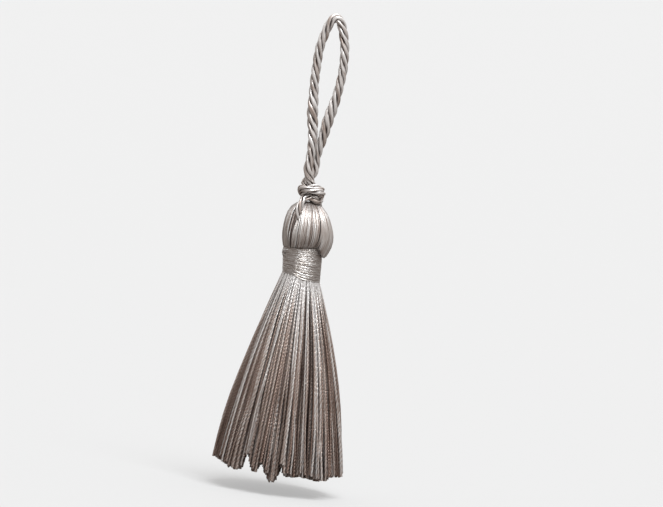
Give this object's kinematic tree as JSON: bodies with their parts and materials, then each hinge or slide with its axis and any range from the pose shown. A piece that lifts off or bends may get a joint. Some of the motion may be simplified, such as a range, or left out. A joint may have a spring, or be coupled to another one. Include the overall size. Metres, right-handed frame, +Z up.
{
  "type": "silk tassel",
  "caption": "Hanging tassel of satin yarn: a skein folded over a twisted cord into a round head, bound at the neck, with a fanned cut skirt and a knotted hanging loop.",
  "frame": {"origin": "the point inside the top of the hanging loop, where a hook or a tie bears", "axes": "+Z up along the hanging tassel, +X to the right seen from the front, -Y towards the viewer"},
  "size_m": [0.0361, 0.0366, 0.1323],
  "materials": {
    "skein_silk": "satin silver-grey yarn",
    "cord_silk": "satin silver-grey twisted cord",
    "binding_silk": "glossy silver-grey thread"
  },
  "bodies": {
    "root": {"skein": "skein_silk", "cord_loop": "cord_silk", "neck_wrap": "binding_silk"}
  },
  "joints": []
}
